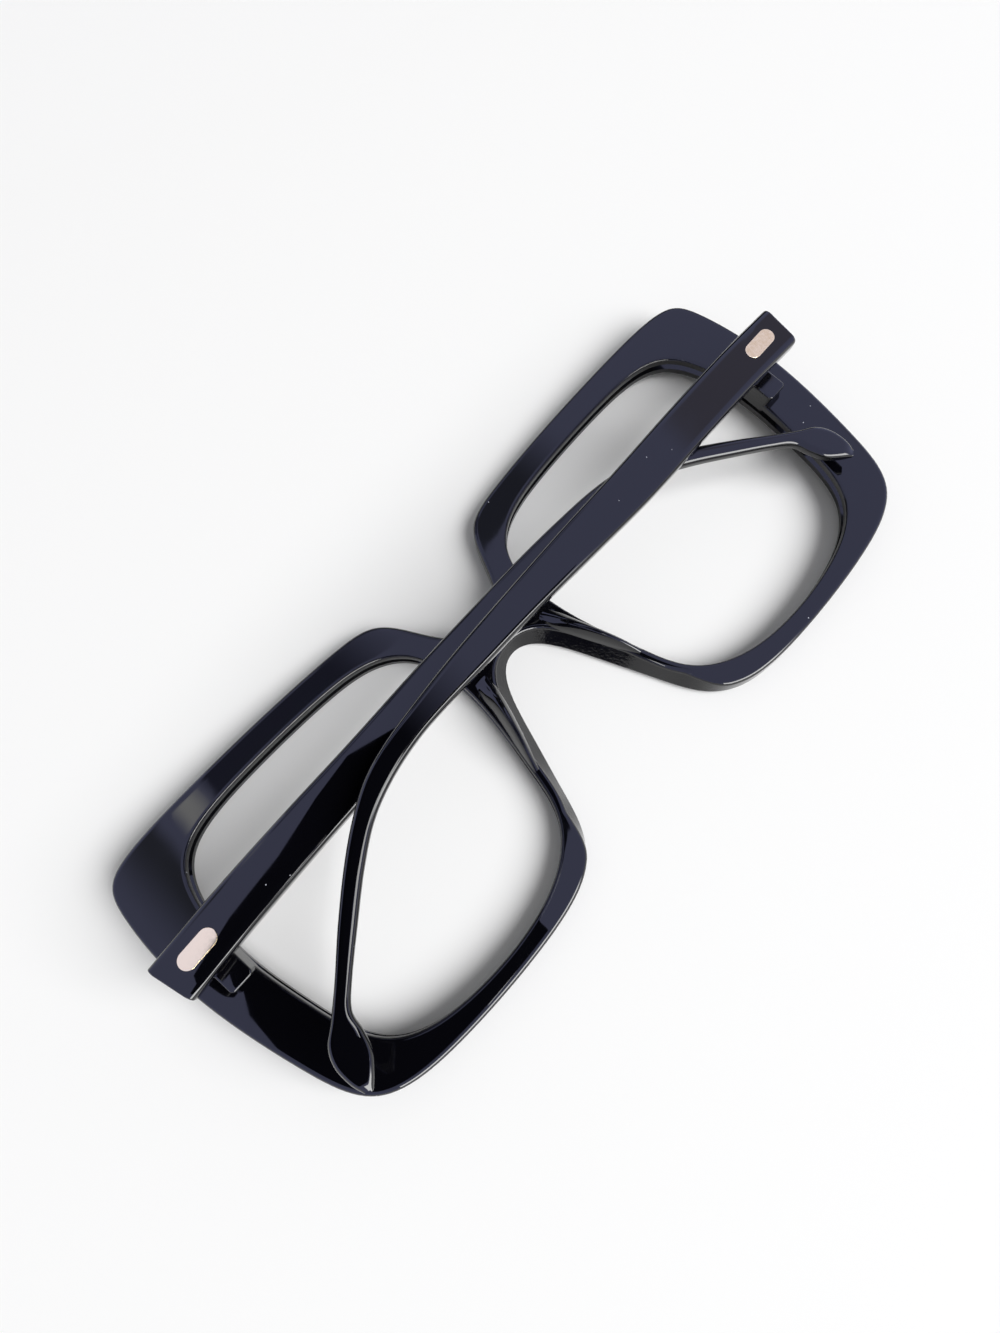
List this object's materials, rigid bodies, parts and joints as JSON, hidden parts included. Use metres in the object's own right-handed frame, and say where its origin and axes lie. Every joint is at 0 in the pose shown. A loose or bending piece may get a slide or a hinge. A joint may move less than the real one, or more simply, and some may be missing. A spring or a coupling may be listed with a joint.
{
  "type": "eyeglass frame",
  "caption": "Oversized square eyeglass frame in thick glossy acetate, without lenses, with keyhole bridge and folding temples that turn on leaf hinges.",
  "frame": {"origin": "middle of the bounding box in X and Y, at the lowest point of the front's front face, which is down", "axes": "+X along the width of the front towards the wearer's right temple, +Y towards the brow, +Z from the front face to the folded temples"},
  "size_m": [0.145, 0.0586, 0.0206],
  "materials": {
    "acetate": "black cellulose acetate, tumbled and polished",
    "hinge_metal": "nickel silver, satin",
    "screw_steel": "stainless steel, turned",
    "core_wire": "nickel silver wire, drawn",
    "inlay_metal": "pale rose gold plating, polished"
  },
  "bodies": {
    "front_assembly": {"front": "acetate", "nose_pad_right": "acetate", "nose_pad_left": "acetate", "hinge_front_leaf_right": "hinge_metal", "hinge_front_leaf_left": "hinge_metal", "hinge_screw_right": "screw_steel", "hinge_screw_left": "screw_steel"},
    "temple_assembly_right": {"temple_right": "acetate", "hinge_temple_leaf_right": "hinge_metal", "temple_core_right": "core_wire", "temple_inlay_right": "inlay_metal"},
    "temple_assembly_left": {"temple_left": "acetate", "hinge_temple_leaf_left": "hinge_metal", "temple_core_left": "core_wire", "temple_inlay_left": "inlay_metal"}
  },
  "joints": [
    {"name": "hinge_right", "type": "hinge", "parent": "front_assembly", "child": "temple_assembly_right", "pos_m": [0.0661, 0.0066, 0.0113], "axis": [-0.0105, 0.9902, 0.1392], "range_deg": [0, 87.7]},
    {"name": "hinge_left", "type": "hinge", "parent": "front_assembly", "child": "temple_assembly_left", "pos_m": [-0.0661, 0.0066, 0.0113], "axis": [0.0349, -0.9897, -0.1391], "range_deg": [0, 91.5]}
  ]
}
